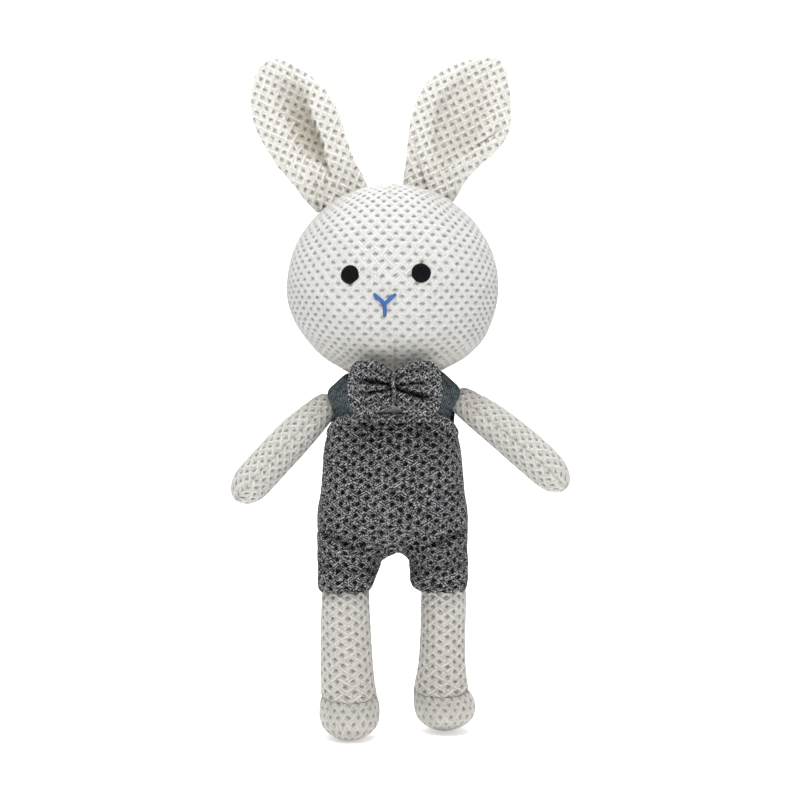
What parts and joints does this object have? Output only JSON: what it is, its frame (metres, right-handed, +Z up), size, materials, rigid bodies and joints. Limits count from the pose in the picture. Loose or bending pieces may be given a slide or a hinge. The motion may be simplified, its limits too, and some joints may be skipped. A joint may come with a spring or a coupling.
{
  "type": "stuffed rabbit",
  "caption": "Knitted stuffed rabbit with a round head, upright cupped ears, slim limbs, romper, shoulder straps and a bow tie.",
  "frame": {"origin": "middle of the toy's bounding box in plan, on the plane that its soles stand on", "axes": "+Z up, from the soles to the ear tips; the face looks along -Y; +X is the viewer's right"},
  "size_m": [0.1734, 0.0937, 0.3458],
  "materials": {
    "white_knit": "matt, chunky honeycomb knit",
    "grey_knit": "matt, marled honeycomb knit",
    "slate_felt": "matt, brushed",
    "black_thread": "soft sheen of embroidery thread",
    "blue_thread": "soft sheen of embroidery thread",
    "fibre_fill": "matt, loose fibre"
  },
  "bodies": {
    "arm_left": {"arm_left_fill": "fibre_fill", "arm_left_under_panel": "white_knit", "arm_left_upper_panel": "white_knit"},
    "arm_left_root": {"arm_left_shoulder_wad": "fibre_fill"},
    "arm_right": {"arm_right_fill": "fibre_fill", "arm_right_under_panel": "white_knit", "arm_right_upper_panel": "white_knit"},
    "arm_right_root": {"arm_right_shoulder_wad": "fibre_fill"},
    "torso": {"bib_hem": "grey_knit", "bow_tack": "white_knit", "bow_thread": "white_knit", "bow_tie": "grey_knit", "romper_back_panel": "grey_knit", "romper_front_panel": "grey_knit", "strap_left": "slate_felt", "strap_right": "slate_felt", "torso_back_panel": "white_knit", "torso_fill": "fibre_fill", "torso_front_panel": "white_knit"},
    "ear_left": {"ear_left_back_panel": "white_knit", "ear_left_front_panel": "white_knit", "ear_left_wadding": "fibre_fill"},
    "ear_right": {"ear_right_back_panel": "white_knit", "ear_right_front_panel": "white_knit", "ear_right_wadding": "fibre_fill"},
    "head": {"eye_left": "black_thread", "eye_right": "black_thread", "head_back_panel": "white_knit", "head_fill": "fibre_fill", "head_front_panel": "white_knit", "nose_stitch": "blue_thread"},
    "leg_left": {"foot_left_sole": "white_knit", "foot_left_upper": "white_knit", "leg_left_fill": "fibre_fill", "leg_left_skin": "white_knit", "romper_leg_left": "grey_knit"},
    "leg_right": {"foot_right_sole": "white_knit", "foot_right_upper": "white_knit", "leg_right_fill": "fibre_fill", "leg_right_skin": "white_knit", "romper_leg_right": "grey_knit"},
    "neck": {"neck_fill": "fibre_fill"}
  },
  "joints": [
    {"name": "head_turn", "type": "hinge", "parent": "torso", "child": "neck", "pos_m": [-0.004, 0.0007, 0.182], "axis": [0, 0, 1], "range_deg": [-25, 25], "stiffness_Nm_per_rad": 0.05},
    {"name": "head_nod", "type": "hinge", "parent": "neck", "child": "head", "pos_m": [-0.004, 0.0007, 0.182], "axis": [1, 0, 0], "range_deg": [-13, 8], "stiffness_Nm_per_rad": 0.12},
    {"name": "arm_left_raise", "type": "hinge", "parent": "torso", "child": "arm_left_root", "pos_m": [-0.0405, 0.0007, 0.164], "axis": [0, 1, 0], "range_deg": [-15, 50], "stiffness_Nm_per_rad": 0.03},
    {"name": "arm_left_swing", "type": "hinge", "parent": "arm_left_root", "child": "arm_left", "pos_m": [-0.0405, 0.0007, 0.164], "axis": [-0.7242, 0, 0.6896], "range_deg": [-30, 60], "stiffness_Nm_per_rad": 0.03},
    {"name": "leg_left_swing", "type": "hinge", "parent": "torso", "child": "leg_left", "pos_m": [-0.0234, 0.0007, 0.097], "axis": [-1, 0, 0], "range_deg": [-15, 80], "stiffness_Nm_per_rad": 0.15},
    {"name": "ear_left_fold", "type": "hinge", "parent": "head", "child": "ear_left", "pos_m": [-0.0336, 0.0007, 0.27791], "axis": [0.9011, 0, 0.4337], "range_deg": [-50, 70], "stiffness_Nm_per_rad": 0.02},
    {"name": "arm_right_raise", "type": "hinge", "parent": "torso", "child": "arm_right_root", "pos_m": [0.034, 0.0007, 0.167], "axis": [0, -1, 0], "range_deg": [-15, 50], "stiffness_Nm_per_rad": 0.03},
    {"name": "arm_right_swing", "type": "hinge", "parent": "arm_right_root", "child": "arm_right", "pos_m": [0.034, 0.0007, 0.167], "axis": [-0.6441, 0, -0.7649], "range_deg": [-30, 60], "stiffness_Nm_per_rad": 0.03},
    {"name": "leg_right_swing", "type": "hinge", "parent": "torso", "child": "leg_right", "pos_m": [0.0154, 0.0007, 0.097], "axis": [-1, 0, 0], "range_deg": [-15, 80], "stiffness_Nm_per_rad": 0.15},
    {"name": "ear_right_fold", "type": "hinge", "parent": "head", "child": "ear_right", "pos_m": [0.01899, 0.0007, 0.28106], "axis": [0.91, 0, -0.4147], "range_deg": [-50, 70], "stiffness_Nm_per_rad": 0.02}
  ]
}
